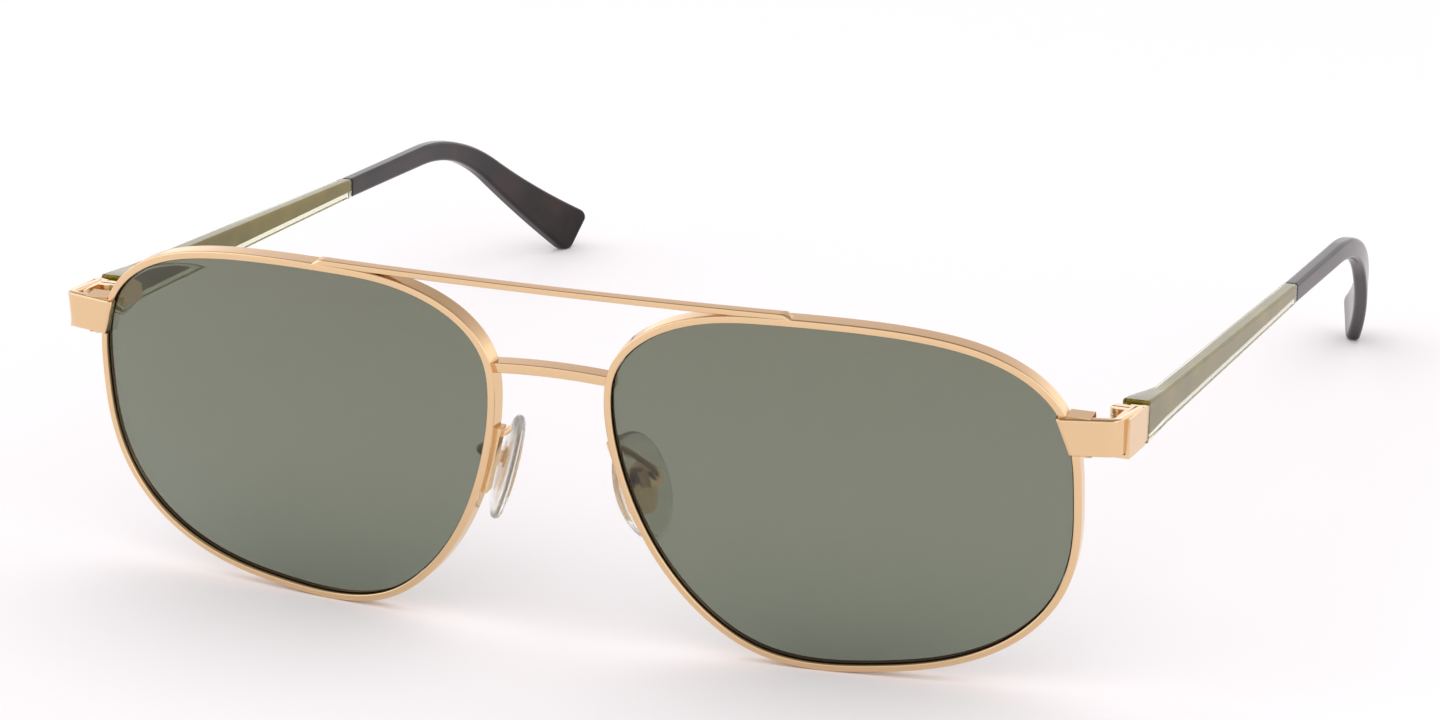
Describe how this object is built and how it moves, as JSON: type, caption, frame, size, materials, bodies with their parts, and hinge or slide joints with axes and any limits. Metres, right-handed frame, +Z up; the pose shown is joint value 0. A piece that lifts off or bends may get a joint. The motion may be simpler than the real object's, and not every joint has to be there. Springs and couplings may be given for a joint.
{
  "type": "sunglasses",
  "caption": "Navigator sunglasses: metal rims with tinted lenses, a brow bar over a low bridge, rocking nose pads and folding acetate temples.",
  "frame": {"origin": "middle of the glasses' footprint as they lie open on their rims and temple tips", "axes": "+X towards the wearer's left, +Y from the front towards the ears, +Z up from the surface they lie on"},
  "size_m": [0.1408, 0.1532, 0.047],
  "materials": {
    "gold_metal": "polished pale gold plating",
    "lens_tint": "polished grey-green tinted lens",
    "clear_acetate": "polished clear acetate",
    "olive_acetate": "polished olive acetate",
    "dark_acetate": "polished dark brown acetate",
    "silicone": "clear silicone",
    "nickel_silver": "drawn wire"
  },
  "bodies": {
    "front": {"bridge": "gold_metal", "brow_bar": "gold_metal", "end_piece_left": "gold_metal", "end_piece_right": "gold_metal", "hinge_front_leaf_left": "gold_metal", "hinge_front_leaf_right": "gold_metal", "hinge_screw_left": "gold_metal", "hinge_screw_right": "gold_metal", "lens_left": "lens_tint", "lens_right": "lens_tint", "pad_arm_left": "gold_metal", "pad_arm_right": "gold_metal", "pad_box_left": "gold_metal", "pad_box_right": "gold_metal", "pad_screw_left": "gold_metal", "pad_screw_right": "gold_metal", "rim_left": "gold_metal", "rim_lock_lower_left": "gold_metal", "rim_lock_lower_right": "gold_metal", "rim_lock_screw_left": "gold_metal", "rim_lock_screw_right": "gold_metal", "rim_lock_upper_left": "gold_metal", "rim_lock_upper_right": "gold_metal", "rim_right": "gold_metal"},
    "temple_left": {"core_wire_left": "nickel_silver", "hinge_temple_leaf_left": "gold_metal", "temple_core_left": "olive_acetate", "temple_sleeve_left": "clear_acetate", "temple_tip_left": "dark_acetate"},
    "temple_right": {"core_wire_right": "nickel_silver", "hinge_temple_leaf_right": "gold_metal", "temple_core_right": "olive_acetate", "temple_sleeve_right": "clear_acetate", "temple_tip_right": "dark_acetate"},
    "pad_left": {"nose_pad_left": "silicone", "pad_insert_left": "gold_metal"},
    "pad_right": {"nose_pad_right": "silicone", "pad_insert_right": "gold_metal"}
  },
  "joints": [
    {"name": "temple_left_fold", "type": "hinge", "parent": "front", "child": "temple_left", "pos_m": [0.0677, -0.06216, 0.033], "axis": [0, 0.0793, 0.9969], "range_deg": [0, 88]},
    {"name": "temple_right_fold", "type": "hinge", "parent": "front", "child": "temple_right", "pos_m": [-0.0677, -0.06216, 0.033], "axis": [0, -0.0793, -0.9969], "range_deg": [0, 74]},
    {"name": "nose_pad_left_rock", "type": "hinge", "parent": "front", "child": "pad_left", "pos_m": [0.01057, -0.06914, 0.02178], "axis": [0.4226, 0.9022, 0.0861], "range_deg": [-6, 6]},
    {"name": "nose_pad_right_rock", "type": "hinge", "parent": "front", "child": "pad_right", "pos_m": [-0.01057, -0.06914, 0.02178], "axis": [-0.4226, 0.9022, 0.0861], "range_deg": [-6, 6]}
  ]
}
